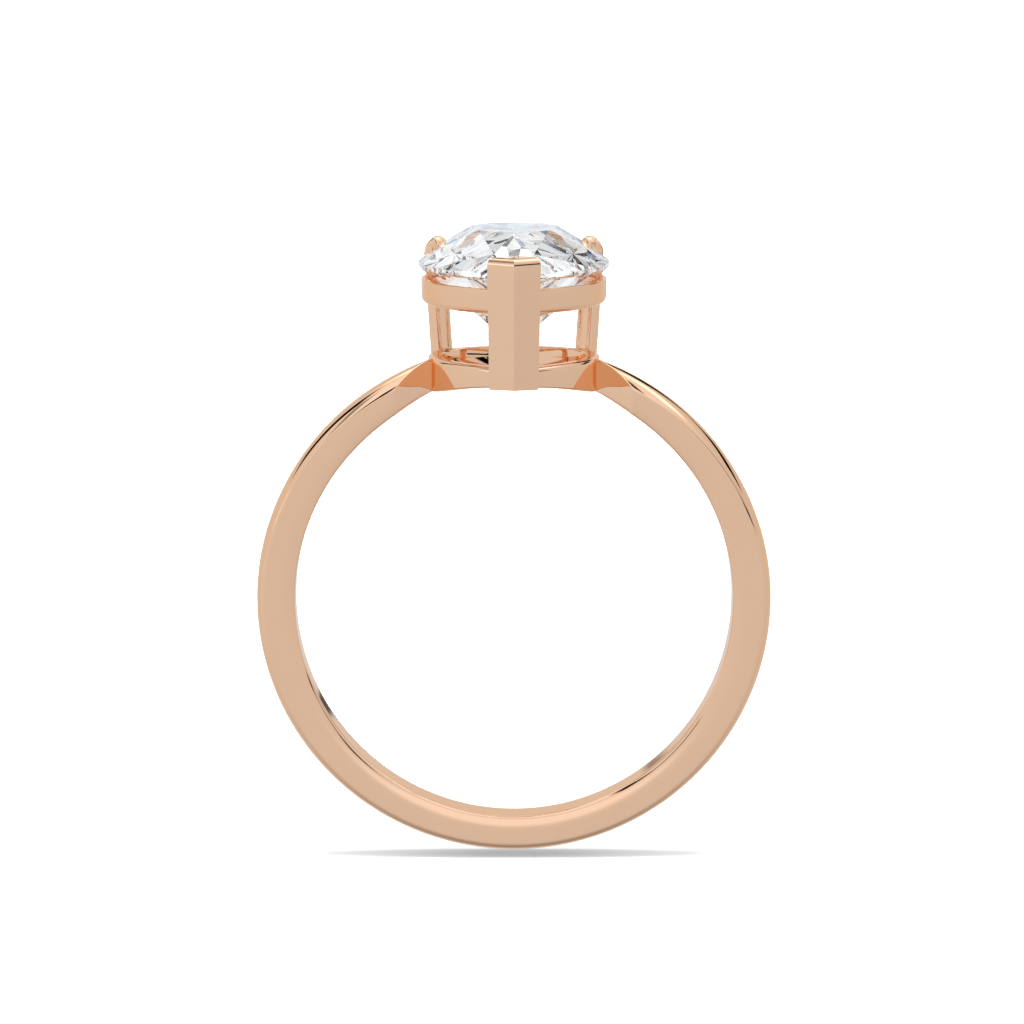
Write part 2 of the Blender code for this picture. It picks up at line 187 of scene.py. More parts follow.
# Name, start and end as (azimuth, elevation) in degrees, width in degrees, the shares of the length
# and of the width that fade out at each edge, and brightness.
STUDIO_CARDS = (
    ("softbox_overhead", (-90, 68), (90, 68), 40, (0.2, 0.2), 1.9),
    ("softbox_front", (163, 11), (-163, 11), 28, (0.25, 0.35), 1.06),
    ("softbox_key", (108, 56), (158, 50), 24, (0.2, 0.3), 1.2),
    ("softbox_left", (-100, 42), (-78, 46), 14, (0.3, 0.3), 1.15),
    ("softbox_back_left", (-37, 42), (-16, 38), 12, (0.3, 0.3), 1.8),
    ("softbox_back_right", (24, 41), (62, 41), 13, (0.2, 0.3), 1.8),
    ("flag_back_left", (-39, 13), (-45, 43), 11, (0.12, 0.2), 0.0),
    ("flag_back_middle", (-20, 38), (-2, 22), 9, (0.1, 0.2), 0.05),
    ("card_left_upper", (-80, 32), (-50, 46), 14, (0.2, 0.3), 0.35),
    ("flag_back_right_low", (29, 19), (49, 16), 9, (0.1, 0.15), 0.0),
    ("flag_back_right_high", (11, 22), (28, 25), 16, (0.1, 0.15), 0.0),
    ("flag_left", (-160, 19), (-84, 58), 9, (0.02, 0.2), 0.0),
    ("flag_left_low", (-156, 6), (-165, 20), 6, (0.1, 0.3), 0.1),
    ("flag_behind_left", (-11, -2), (-8.5, 4), 1.5, (0.2, 0.3), 0.3),
    ("flag_behind_right", (9.5, -5), (3.5, 2.5), 2.5, (0.2, 0.3), 0.1),
    ("flag_right_near", (78, 17), (94, 15), 16, (0.2, 0.2), 0.05),
    ("softbox_left_near", (-94, 15), (-78, 17), 14, (0.3, 0.3), 1.5),
    ("flag_right", (94, 13), (138, 11), 6, (0.05, 0.2), 0.0),
    ("flag_right_low", (132, 14), (165, 10), 7, (0.1, 0.2), 0.05),
    ("flag_ceiling_right", (56, 56), (92, 57), 4, (0.1, 0.3), 0.1),
)

CAMERA_ELEVATION_DEGREES = 7.0
CAMERA_DISTANCE = 204.0 * MM
CAMERA_AIM_RISE = 3.213 * MM
CAMERA_AIM_X = -0.072 * MM
CAMERA_LENS_MM = 189.7
CAMERA_NEAREST = 1.0 * MM

ROSE_GOLD = (0.92, 0.565, 0.355)
EDGE_TINT = (1.0, 0.80, 0.61, 1.0)
STUDIO_TINT = (1.0, 1.09, 1.20)
POLISH_TINTS = (0.985, 1.015)
POLISH_ROUGHNESS = (0.02, 0.05)
POLISH_SCALE = 900.0
POLISH_DETAIL = 3.0
RIPPLE_HEIGHT = 0.004 * MM
RIPPLE_STRENGTH = 0.25
DIAMOND_IOR = 2.417
DIAMOND_TINTS = ((0.985, 0.985, 0.98, 1.0), (1.0, 1.0, 1.0, 1.0))
DIAMOND_ROUGHNESS = (0.0, 0.002)
DIAMOND_SCALE = 400.0
DIAMOND_DETAIL = 2.0

STONE_LOW, STONE_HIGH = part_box("diamond")
SHANK_LOW, SHANK_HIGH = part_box("shank")
BASE_LOW, BASE_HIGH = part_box("base_ring")
RAIL_LOW, RAIL_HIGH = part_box("gallery_rail")
VEE_LOW, VEE_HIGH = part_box("v_prong")
CLAW_LOW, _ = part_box("claw_left")

STONE_HALF_WIDTH = STONE_HIGH.x
STONE_TIP_Y = STONE_LOW.y
STONE_WIDEST_Y = STONE_HIGH.y - STONE_HALF_WIDTH
TABLE_Z = STONE_HIGH.z
CULET_Z = STONE_LOW.z
GIRDLE_MIDDLE_Z = TABLE_Z - GIRDLE_BELOW_TABLE
GIRDLE_TOP_Z = GIRDLE_MIDDLE_Z + GIRDLE_HALF
GIRDLE_BOTTOM_Z = GIRDLE_MIDDLE_Z - GIRDLE_HALF
BAND_HALF_WIDTH = SHANK_HIGH.y
BASE_INSET = STONE_HALF_WIDTH - BASE_HIGH.x
BASE_TOP_Z = BASE_HIGH.z
RAIL_INSET = STONE_HALF_WIDTH - RAIL_HIGH.x
RAIL_TOP_Z = RAIL_HIGH.z
RAIL_BOTTOM_Z = RAIL_LOW.z


# Mesh helpers


def object_of(name, mesh_builder, sharp_degrees=CREASE_DEGREES):
    """A smooth-shaded object, with a hard edge wherever two faces meet more sharply than this."""
    bmesh.ops.recalc_face_normals(mesh_builder, faces=mesh_builder.faces)
    mesh = bpy.data.meshes.new(name)
    mesh_builder.to_mesh(mesh)
    mesh_builder.free()
    mesh.shade_smooth()
    mesh.set_sharp_from_angle(angle=math.radians(sharp_degrees))
    made = bpy.data.objects.new(name, mesh)
    bpy.context.scene.collection.objects.link(made)
    return made


def loft(rings, closed=False):
    """A skin over rings of equally many points; the ends are capped, or joined when the loft is closed."""
    mesh_builder = bmesh.new()
    rows = [[mesh_builder.verts.new(point) for point in ring] for ring in rings]
    size = len(rows[0])
    following = rows[1:] + rows[:1] if closed else rows[1:]
    for row, after in zip(rows, following):
        for index in range(size):
            beside = (index + 1) % size
            mesh_builder.faces.new((row[index], row[beside], after[beside], after[index]))
    if not closed:
        mesh_builder.faces.new(rows[0])
        mesh_builder.faces.new(rows[-1])
    return mesh_builder


def flatten_normals(piece):
    """Large faces keep their own direction, so flats stay flat and only the fillets bend the light."""
    modifier = piece.modifiers.new("flat_faces", "WEIGHTED_NORMAL")
    modifier.mode = "FACE_AREA"
    modifier.keep_sharp = True


def cut(piece, cutter):
    """Takes the cutter's shape away from the piece once the modifiers are applied."""
    modifier = piece.modifiers.new(cutter.name, "BOOLEAN")
    modifier.operation = "DIFFERENCE"
    modifier.solver = "EXACT"
    modifier.object = cutter


def apply_modifiers(piece):
    graph = bpy.context.evaluated_depsgraph_get()
    baked = bpy.data.meshes.new_from_object(piece.evaluated_get(graph))
    piece.modifiers.clear()
    piece.data = baked


def smooth_value(stations, at):
    """A smooth curve through (position, value) stations, with no slope at the first one."""
    last = len(stations) - 1
    slopes = [0.0]
    for index in range(1, last + 1):
        ahead = stations[min(index + 1, last)]
        behind = stations[index - 1]
        slopes.append((ahead[1] - behind[1]) / (ahead[0] - behind[0]))
    span = max(i for i in range(last) if i == 0 or stations[i][0] <= at)
    start, end = stations[span], stations[span + 1]
    width = end[0] - start[0]
    t = (at - start[0]) / width
    return (
        start[1] * (2 * t**3 - 3 * t**2 + 1)
        + slopes[span] * width * (t**3 - 2 * t**2 + t)
        + end[1] * (3 * t**2 - 2 * t**3)
        + slopes[span + 1] * width * (t**3 - t**2)
    )


def arc(centre, radius, start_degrees, end_degrees, steps):
    """Points of an arc in a plane, both ends included."""
    points = []
    for step in range(steps + 1):
        angle = math.radians(start_degrees + (end_degrees - start_degrees) * step / steps)
        points.append((centre[0] + radius * math.cos(angle), centre[1] + radius * math.sin(angle)))
    return points


def straight(start, end, steps):
    """Points strictly between two ends."""
    points = []
    for step in range(1, steps):
        part = step / steps
        points.append((start[0] + (end[0] - start[0]) * part, start[1] + (end[1] - start[1]) * part))
    return points


# Pear outline


def wing_point(inset, t):
    """Point t of the way from the tip to the widest line on the +X side: straight, then rounding."""
    half_width = STONE_HALF_WIDTH - inset
    tip = Vector((0.0, STONE_TIP_Y + inset * math.sqrt(2)))
    widest = Vector((half_width, STONE_WIDEST_Y))
    corner = Vector((half_width, tip.y + half_width))
    tip_handle = tip.lerp(corner, WING_HANDLE)
    widest_handle = widest.lerp(corner, WING_HANDLE)
    s = 1 - t
    return tip * s**3 + tip_handle * (3 * s * s * t) + widest_handle * (3 * s * t * t) + widest * t**3


def pear_point(inset, turn):
    """Point of the outline. Turn is 0 at the tip, 2 at the +X widest, 4 at the back, 8 at the tip again."""
    if turn <= 2:
        return wing_point(inset, turn / 2)
    if turn >= 6:
        mirrored = wing_point(inset, (8 - turn) / 2)
        return Vector((-mirrored.x, mirrored.y))
    angle = (turn - 2) * math.pi / 4
    radius = STONE_HALF_WIDTH - inset
    return Vector((radius * math.cos(angle), STONE_WIDEST_Y + radius * math.sin(angle)))


def pear_ring(inset, height_at, wing_steps=WING_STEPS, round_steps=ROUND_STEPS):
    """The whole outline, set in by this much, at the height that height_at gives for each x."""
    turns = [2 * step / wing_steps for step in range(wing_steps)]
    turns += [2 + 4 * step / round_steps for step in range(round_steps)]
    turns += [6 + 2 * step / wing_steps for step in range(wing_steps)]
    outline = [pear_point(inset, turn) for turn in turns]
    return [Vector((point.x, point.y, height_at(point.x))) for point in outline]


def level(height):
    return lambda _: height


def above_finger(rise):
    """Height of the head's underside, a cylinder along Y, plus a rise."""
    return lambda x: math.sqrt(HEAD_UNDERSIDE_RADIUS**2 - x**2) + rise


# Stone


def tangent_at(turn):
    """Direction of the outline at a main facet; across the tip it runs straight along X."""
    if turn % MAIN_FACETS == 0:
        return Vector((1.0, 0.0, 0.0))
    ahead = pear_point(0.0, turn + TURN_STEP)
    behind = pear_point(0.0, turn - TURN_STEP)
    return (ahead - behind).to_3d().normalized()


def girdle_point(turn, height):
    return pear_point(0.0, turn % MAIN_FACETS).to_3d() + Vector((0.0, 0.0, height))


def plane_through(a, b, c):
    """(point, normal) of the plane through three points, its normal facing out of the stone."""
    normal = (b - a).cross(c - a).normalized()
    middle = Vector((0.0, STONE_WIDEST_Y, GIRDLE_TOP_Z))
    return (a, normal) if normal.dot(a - middle) > 0 else (a, -normal)


def meet_at_height(first, second, height):
    """The point at this height on the line where two planes meet."""
    (p, n), (q, m) = first, second
    first_sum = n.dot(p) - n.z * height
    second_sum = m.dot(q) - m.z * height
    scale = n.x * m.y - n.y * m.x
    x = (first_sum * m.y - second_sum * n.y) / scale
    y = (n.x * second_sum - m.x * first_sum) / scale
    return Vector((x, y, height))


def girdle_facets(turn, height, apex):
    """The two planes that meet the girdle between one main facet and the next, and share this apex."""
    near = girdle_point(turn, height)
    middle = girdle_point(turn + 0.5, height)
    far = girdle_point(turn + 1, height)
    return [plane_through(near, middle, apex), plane_through(middle, far, apex)]


def crown_planes():
    """Planes of the table, the crown's mains, the stars and the upper halves."""
    rise = Vector((0.0, 0.0, TABLE_Z))
    corners = [pear_point(TABLE_INSET, turn).to_3d() + rise for turn in range(MAIN_FACETS)]
    mains = []
    for turn, corner in enumerate(corners):
        foot = girdle_point(turn, GIRDLE_TOP_Z)
        mains.append(plane_through(foot, foot + tangent_at(turn) * MM, corner))
    planes = [(Vector((0, 0, TABLE_Z)), Vector((0, 0, 1)))] + mains
    star_height = TABLE_Z - STAR_REACH * (TABLE_Z - GIRDLE_TOP_Z)
    for turn in range(MAIN_FACETS):
        after = (turn + 1) % MAIN_FACETS
        apex = meet_at_height(mains[turn], mains[after], star_height)
        planes.append(plane_through(corners[turn], corners[after], apex))
        planes += girdle_facets(turn, GIRDLE_TOP_Z, apex)
    return planes


def pavilion_planes():
    """Planes of the pavilion's mains and lower halves."""
    culet = Vector((0.0, CULET_Y, CULET_Z))
    mains = []
    for turn in range(MAIN_FACETS):
        foot = girdle_point(turn, GIRDLE_BOTTOM_Z)
        mains.append(plane_through(foot, foot + tangent_at(turn) * MM, culet))
    planes = list(mains)
    apex_height = GIRDLE_BOTTOM_Z + LOWER_HALF_REACH * (CULET_Z - GIRDLE_BOTTOM_Z)
    for turn in range(MAIN_FACETS):
        apex = meet_at_height(mains[turn], mains[(turn + 1) % MAIN_FACETS], apex_height)
        planes += girdle_facets(turn, GIRDLE_BOTTOM_Z, apex)
    return planes


def cut_stone(gap=0.0):
    """The stone as a lapidary cuts it: a pear-shaped rough, ground flat on each facet's plane."""
    ends = (level(CULET_Z - CUTTER_REACH), level(TABLE_Z + CUTTER_REACH))
    mesh_builder = loft([pear_ring(-gap, end, STONE_WING_STEPS, STONE_ROUND_STEPS) for end in ends])
    bmesh.ops.recalc_face_normals(mesh_builder, faces=mesh_builder.faces)
    for point, normal in crown_planes() + pavilion_planes():
        everything = mesh_builder.verts[:] + mesh_builder.edges[:] + mesh_builder.faces[:]
        ground = bmesh.ops.bisect_plane(
            mesh_builder,
            geom=everything,
            dist=PLANE_TOLERANCE,
            plane_co=point + normal * gap,
            plane_no=normal,
            clear_outer=True,
        )
        rim = [item for item in ground["geom_cut"] if isinstance(item, bmesh.types.BMEdge)]
        rim = [edge for edge in rim if edge.is_boundary]
        if rim:
            bmesh.ops.holes_fill(mesh_builder, edges=rim, sides=0)
    return mesh_builder


# Band


def pinched_half_width(x):
    """Half the band's width: full all round, then closing on the head between two hollow upright faces."""
    depth = PINCH_START_X - x
    eased = (depth + math.sqrt(depth**2 + PINCH_SOFTNESS**2)) / 2
    first = math.tan(math.radians(PINCH_START_DEGREES))
    last = math.tan(math.radians(PINCH_END_DEGREES))
    closed = eased * first - eased**2 * (first - last) / (2 * PINCH_LENGTH)
    return max(BAND_HALF_WIDTH - closed, PINCH_LEAST_HALF)


def band_section(angle_degrees, narrowing):
    """Half outline of the band's section: (across, outwards) points from the finger side to the crown."""
    thickness = smooth_value(BAND_THICKNESS, angle_degrees)
    dome = smooth_value(BAND_DOME, angle_degrees)
    lift = smooth_value(BAND_LIFT, angle_degrees)
    edge = BAND_HALF_WIDTH - narrowing
    share = min(1.0, edge / PINCH_FULL_ROUNDING)
    rounding = smooth_value(BAND_SHOULDER, angle_degrees) * share
    dome_radius = (BAND_HALF_WIDTH**2 + dome**2) / (2 * dome)
    dome_centre = thickness - dome_radius
    ease = BAND_EASE_DEGREES
    ease_radius = BAND_EASE_RADIUS * share
    fillet = BAND_INNER_FILLET * share
    lean_in = ease_radius * (1 - math.cos(math.radians(ease)))
    fillet_across = edge - lean_in - fillet * math.cos(math.radians(ease))
    ease_top = lift + fillet + (ease_radius - fillet) * math.sin(math.radians(ease))
    points = [(0.0, lift)]
    points += straight((0.0, lift), (fillet_across, lift), FACE_STEPS)
    points += arc((fillet_across, lift + fillet), fillet, -90, -ease, FILLET_STEPS)
    points += arc((edge - ease_radius, ease_top), ease_radius, -ease, 0, EASE_STEPS)[1:]
    rise = math.sqrt((dome_radius - rounding) ** 2 - (edge - rounding) ** 2)
    edge_degrees = math.degrees(math.atan2(rise, edge - rounding))
    shoulder = arc((edge - rounding, dome_centre + rise), rounding, 0, edge_degrees, FILLET_STEPS)
    points += straight(points[-1], shoulder[0], FACE_STEPS)
    points += shoulder
    points += arc((0.0, dome_centre), dome_radius, edge_degrees, 90, DOME_STEPS)[1:]
    return points


def upright_share(degrees):
    """0 where the rings are square to the band, 1 where they stand upright beside the head."""
    upright = 180 - math.degrees(math.asin(PINCH_START_X / FINGER_RADIUS)) - UPRIGHT_LEAD_DEGREES
    t = min(max((degrees - UPRIGHT_FROM_DEGREES) / (upright - UPRIGHT_FROM_DEGREES), 0.0), 1.0)
    return t * t * (3 - 2 * t)


def band_point(degrees, across, outwards):
    """A point of the band's skin; rings lean from square to the band to upright as they near the head."""
    reach = FINGER_RADIUS + outwards
    share = upright_share(degrees)
    square = math.radians(degrees)
    angle = square
    if share > 0:
        upright = math.pi - math.asin(FINGER_RADIUS * math.sin(square) / reach)
        angle = square + (upright - square) * share
    return Vector((-reach * math.sin(angle), across, -reach * math.cos(angle)))


def band_ring(degrees):
    """One ring of the band's skin; 0 is the foot of the ring, and the sign says on which side of it."""
    side = 1 if degrees >= 0 else -1
    degrees = abs(degrees)
    x = FINGER_RADIUS * math.sin(math.radians(degrees))
    narrowing = BAND_HALF_WIDTH - pinched_half_width(x) if degrees > 90 else 0.0
    half = band_section(degrees, narrowing)
    mirrored = [(-across, outwards) for across, outwards in reversed(half[1:-1])]
    ring = [band_point(degrees, across, outwards) for across, outwards in half + mirrored]
    return [Vector((point.x * side, point.y, point.z)) for point in ring]


def make_band():
    """The band, its two ends trimmed just inside the base ring's wall."""
    end = 180 - math.degrees(math.asin(BAND_END_X / FINGER_RADIUS))
    rings = [band_ring(end * (2 * step / BAND_STEPS - 1)) for step in range(BAND_STEPS + 1)]
    band = object_of("shank_polished", loft(rings))
    ends = (level(BASE_LOW.z - CUTTER_REACH), level(BASE_TOP_Z + CUTTER_REACH))
    head = object_of("head_cutter", loft([pear_ring(BASE_INSET + BAND_END_BITE, end) for end in ends]))
    cut(band, head)
    flatten_normals(band)
    apply_modifiers(band)
    bpy.data.objects.remove(head, do_unlink=True)
    return band


# Head


def make_base_ring():
    """The pear-shaped collar: round-topped, eased inside, and hollowed below to follow the finger."""
    foot, top = BASE_FOOT_FILLET, BASE_TOP_FILLET
    foot_wall = BASE_WALL + BASE_FLARE
    top_profile = arc((top, -top), top, 180, 90, 2 * FILLET_STEPS)
    inner = Vector((BASE_WALL - BASE_INNER_FILLET, -BASE_INNER_FILLET))
    top_profile += arc(inner, BASE_INNER_FILLET, 90, BASE_EASE_DEGREES, FILLET_STEPS)
    ease = math.radians(BASE_EASE_DEGREES)
    inner -= Vector((math.cos(ease), math.sin(ease))) * (BASE_EASE_RADIUS - BASE_INNER_FILLET)
    top_profile += arc(inner, BASE_EASE_RADIUS, BASE_EASE_DEGREES, BASE_FLARE_DEGREES, EASE_STEPS)[1:]
    foot_profile = arc((foot_wall - foot, foot), foot, BASE_FLARE_DEGREES, -90, FILLET_STEPS)
    foot_profile += arc((foot, foot), foot, 270, 180, FILLET_STEPS)
    rings = [pear_ring(BASE_INSET + inset, level(BASE_TOP_Z + rise)) for inset, rise in top_profile]
    rings += [pear_ring(BASE_INSET + inset, above_finger(rise)) for inset, rise in foot_profile]
    base_ring = object_of("base_ring_polished", loft(rings, closed=True))
    flatten_normals(base_ring)
    return base_ring


def make_gallery_rail():
    """The pear-shaped ring under the girdle, with its lower outer edge well rounded."""
    fillet = RAIL_LOWER_FILLET
    corners = arc((fillet, RAIL_BOTTOM_Z + fillet), fillet, 270, 180, 2 * FILLET_STEPS)
    fillet = RAIL_EDGE_FILLET
    corners += arc((fillet, RAIL_TOP_Z - fillet), fillet, 180, 90, FILLET_STEPS)
    corners += arc((RAIL_TOP_WALL - fillet, RAIL_TOP_Z - fillet), fillet, 90, 0, FILLET_STEPS)
    corners += arc((RAIL_BOTTOM_WALL - fillet, RAIL_BOTTOM_Z + fillet), fillet, 0, -90, FILLET_STEPS)
    rings = [pear_ring(RAIL_INSET + inset, level(height)) for inset, height in corners]
    rail = object_of("gallery_rail_polished", loft(rings, closed=True))
    flatten_normals(rail)
    return rail


def vee_section(height_at, outer, inner, half_width):
    """Plan of the V-prong at one height, between two offsets from the stone's straight sides."""
    root = math.sqrt(2)
    outer_tip = STONE_TIP_Y - outer * root
    inner_tip = STONE_TIP_Y - inner * root
    along = (outer - inner) / root
    outer_end = Vector((half_width, outer_tip + half_width))
    inner_end = outer_end + Vector((-along, along))
    right = [outer_end, inner_end]
    left = [Vector((-point.x, point.y)) for point in reversed(right)]
    outline = [Vector((0.0, outer_tip))] + right + [Vector((0.0, inner_tip))] + left
    return [Vector((point.x, point.y, height_at(point.x))) for point in outline]


def make_v_prong(stone_cutter):
    """The folded guard over the stone's point, with a rolled cap and a seat cut by the stone."""
    lean = BASE_INSET * (GIRDLE_BOTTOM_Z - VEE_LOW.z) / (GIRDLE_BOTTOM_Z - BASE_TOP_Z)
    outer = (STONE_TIP_Y - VEE_LOW.y) / math.sqrt(2)
    inner = outer - VEE_WALL
    top = VEE_HIGH.x
    shoulder_z = VEE_HIGH.z - VEE_CAP_RADIUS
    rings = [
        vee_section(above_finger(0.0), outer - lean, inner - lean - VEE_EMBED, top - VEE_FOOT_NARROWING),
        vee_section(level(GIRDLE_BOTTOM_Z), outer, inner - VEE_EMBED, top),
        vee_section(level(GIRDLE_TOP_Z), outer, inner - VEE_EMBED, top),
    ]
    crease = math.cos(math.radians(VEE_CAP_START_DEGREES)) * VEE_CAP_RADIUS
    for outwards, rise in arc((-crease, 0.0), VEE_CAP_RADIUS, VEE_CAP_START_DEGREES, 90, CAP_STEPS):
        half_width = top + outwards * VEE_CAP_CORNER / VEE_CAP_RADIUS
        rings.append(vee_section(level(shoulder_z + rise), outer + outwards, -VEE_CAP_REACH, half_width))
    v_prong = object_of("v_prong_polished", loft(rings))
    cut(v_prong, stone_cutter)
    bevel = v_prong.modifiers.new("edges", "BEVEL")
    bevel.width = VEE_EDGE
    bevel.segments = VEE_EDGE_STEPS
    bevel.limit_method = "ANGLE"
    bevel.angle_limit = math.radians(VEE_EDGE_FROM_DEGREES)
    bevel.harden_normals = True
    return v_prong


def claw_section(centre, radial, tangent, radial_size, tangential_size, power):
    """One ring of a claw: a rounded rectangle, which turns into an ellipse as power falls to 2."""
    ring = []
    for step in range(CLAW_SECTION_STEPS):
        angle = 2 * math.pi * (step + 0.5) / CLAW_SECTION_STEPS
        c, s = math.cos(angle), math.sin(angle)
        along = math.copysign(abs(c) ** (2 / power), c) * radial_size / 2
        across = math.copysign(abs(s) ** (2 / power), s) * tangential_size / 2
        ring.append(centre + radial * along + tangent * across)
    return ring


def claw_frame(side):
    """Directions of the claw on one side (+1 or -1 in X), and its foot: tangent, rise, face and foot."""
    behind = math.radians(CLAW_BEHIND_DEGREES)
    outward = Vector((side * math.cos(behind), math.sin(behind), 0.0))
    tangent = Vector((0.0, 0.0, 1.0)).cross(outward)
    middle = Vector((0.0, STONE_WIDEST_Y, 0.0))
    lean = math.atan(CLAW_LEAN)
    rise = Vector((0.0, 0.0, 1.0)) * math.cos(lean) + outward * math.sin(lean)
    face = outward * math.cos(lean) - Vector((0.0, 0.0, 1.0)) * math.sin(lean)
    foot = middle + outward * CLAW_FOOT_REACH + Vector((0.0, 0.0, CLAW_FOOT_Z))
    return tangent, rise, face, foot


def claw_rings(side):
    """A leaning post, a bend towards the stone and a rounded tip."""
    tangent, rise, face, foot = claw_frame(side)
    post_length = (CLAW_BEND_Z - CLAW_FOOT_Z) / rise.z
    tip_size = 2 * CLAW_TIP_RADIUS
    bend_start = foot + rise * post_length
    bend_centre = bend_start - face * CLAW_BEND_RADIUS
    seen_foot = foot + rise * (CLAW_LOW.z + CLAW_FOOT_RISE - CLAW_FOOT_Z)
    rings = []
    for step in range(CLAW_POST_STEPS):
        centre = seen_foot.lerp(bend_start, step / CLAW_POST_STEPS)
        rings.append(claw_section(centre, face, tangent, CLAW_RADIAL, CLAW_TANGENTIAL, CLAW_SQUARENESS))
    for step in range(CLAW_BEND_STEPS + 1):
        part = step / CLAW_BEND_STEPS
        angle = math.radians(CLAW_TIP_DEGREES) * part
        facing = face * math.cos(angle) + rise * math.sin(angle)
        centre = bend_centre + facing * CLAW_BEND_RADIUS
        power = CLAW_SQUARENESS + (CLAW_ROUND - CLAW_SQUARENESS) * part
        wide = CLAW_RADIAL + (tip_size - CLAW_RADIAL) * part
        deep = CLAW_TANGENTIAL + (tip_size - CLAW_TANGENTIAL) * part
        rings.append(claw_section(centre, facing, tangent, wide, deep, power))
    ahead = rise * math.cos(angle) - face * math.sin(angle)
    for step in range(1, CLAW_CAP_STEPS):
        angle = math.pi / 2 * step / CLAW_CAP_STEPS
        size = tip_size * math.cos(angle)
        cap_centre = centre + ahead * (tip_size / 2 * math.sin(angle))
        rings.append(claw_section(cap_centre, facing, tangent, size, size, CLAW_ROUND))
    return rings


def make_claw_groove(side, offset):
    """A square bar laid on its corner along the post's inner face, to cut one V-groove."""
    tangent, rise, face, foot = claw_frame(side)
    line = foot - face * CLAW_RADIAL / 2 - tangent * side * offset
    depth = CLAW_GROOVE_DEPTH
    corners = (face * depth, tangent * depth, -face * depth, -tangent * depth)
    ends = []
    for height in (BASE_TOP_Z, RAIL_BOTTOM_Z + CLAW_GROOVE_TOP):
        centre = line + rise * (height - CLAW_FOOT_Z)
        ends.append([centre + corner for corner in corners])
    return object_of("claw_groove_cutter", loft(ends))


def make_finger_cutter():
    """A round bar along Y, as thick as the head's hollow underside."""
    ends = []
    for y in (-FINGER_CUTTER_HALF, FINGER_CUTTER_HALF):
        end = []
        for step in range(FINGER_CUTTER_STEPS):
            turn = 2 * math.pi * step / FINGER_CUTTER_STEPS
            spoke = Vector((math.cos(turn), 0.0, math.sin(turn))) * HEAD_UNDERSIDE_RADIUS
            end.append(Vector((spoke.x, y, spoke.z)))
        ends.append(end)
    return object_of("finger_cutter", loft(ends))


def make_claw(name, side, stone_cutter):
    """One claw: its seat cut by the stone, two grooves down its inner face, its foot filed to the finger."""
    claw = object_of(name, loft(claw_rings(side)))
    cutters = [make_claw_groove(side, offset) for offset in CLAW_GROOVES] + [make_finger_cutter()]
    for cutter in [stone_cutter] + cutters:
        cut(claw, cutter)
    apply_modifiers(claw)
    for cutter in cutters:
        bpy.data.objects.remove(cutter, do_unlink=True)
    return claw


# Materials


def new_material(name):
    made = bpy.data.materials.new(name)
    made.use_nodes = True
    return made, made.node_tree.nodes, made.node_tree.links


def make_uneven(nodes, links, scale, detail, tints, roughness):
    """Lets noise in the piece's own space shift the colour and the polish; gives back the noise."""
    shader = nodes["Principled BSDF"]
    place = nodes.new("ShaderNodeTexCoord")
    cloud = nodes.new("ShaderNodeTexNoise")
    cloud.inputs["Scale"].default_value = scale
    cloud.inputs["Detail"].default_value = detail
    links.new(place.outputs["Object"], cloud.inputs["Vector"])
    tint = nodes.new("ShaderNodeMix")
    tint.data_type = "RGBA"
    tint.inputs["A"].default_value, tint.inputs["B"].default_value = tints
    links.new(cloud.outputs["Fac"], tint.inputs["Factor"])
    links.new(tint.outputs["Result"], shader.inputs["Base Color"])
    haze = nodes.new("ShaderNodeMapRange")
    haze.inputs["To Min"].default_value, haze.inputs["To Max"].default_value = roughness
    links.new(cloud.outputs["Fac"], haze.inputs["Value"])
    links.new(haze.outputs["Result"], shader.inputs["Roughness"])
    return cloud.outputs["Fac"]


def rose_gold_material():
    """Mirror-polished metal with the faint unevenness that a buffing wheel leaves."""
    made, nodes, links = new_material("rose_gold_polished")
    shader = nodes["Principled BSDF"]
    shader.inputs["Metallic"].default_value = 1.0
    shader.inputs["Specular Tint"].default_value = EDGE_TINT
    tints = [tuple(min(1.0, share * part) for part in ROSE_GOLD) + (1.0,) for share in POLISH_TINTS]
    noise = make_uneven(nodes, links, POLISH_SCALE, POLISH_DETAIL, tints, POLISH_ROUGHNESS)
    ripple = nodes.new("ShaderNodeBump")
    ripple.inputs["Strength"].default_value = RIPPLE_STRENGTH
    ripple.inputs["Distance"].default_value = RIPPLE_HEIGHT
    links.new(noise, ripple.inputs["Height"])
    links.new(ripple.outputs["Normal"], shader.inputs["Normal"])
    return made


def diamond_material():
    """Clear, with a barely uneven body colour and polish; its surface shine is set back to neutral."""
    made, nodes, links = new_material("diamond_clear")
    shader = nodes["Principled BSDF"]
    shader.inputs["IOR"].default_value = DIAMOND_IOR
    shader.inputs["Transmission Weight"].default_value = 1.0
    shader.inputs["Specular Tint"].default_value = tuple(1.0 / part for part in STUDIO_TINT) + (1.0,)
    make_uneven(nodes, links, DIAMOND_SCALE, DIAMOND_DETAIL, DIAMOND_TINTS, DIAMOND_ROUGHNESS)
    return made


# Stage


def make_floor():
    """A lit white table. The metal reflects the lower half of the world instead of it."""
    mesh_builder = bmesh.new()
    bmesh.ops.create_grid(mesh_builder, x_segments=1, y_segments=1, size=FLOOR_HALF)
    floor = object_of("floor", mesh_builder)
    floor.location.z = SHANK_LOW.z - FLOOR_GAP
    floor.visible_glossy = False
    floor.visible_transmission = False
    made, nodes, _ = new_material("floor_white")
    shader = nodes["Principled BSDF"]
    shader.inputs["Base Color"].default_value = (FLOOR_GREY, FLOOR_GREY, FLOOR_GREY, 1.0)
    shader.inputs["Roughness"].default_value = 1.0
    shader.inputs["Specular IOR Level"].default_value = 0.0
    shader.inputs["Emission Color"].default_value = (1.0, 1.0, 1.0, 1.0)
    shader.inputs["Emission Strength"].default_value = FLOOR_GLOW
    floor.data.materials.append(made)


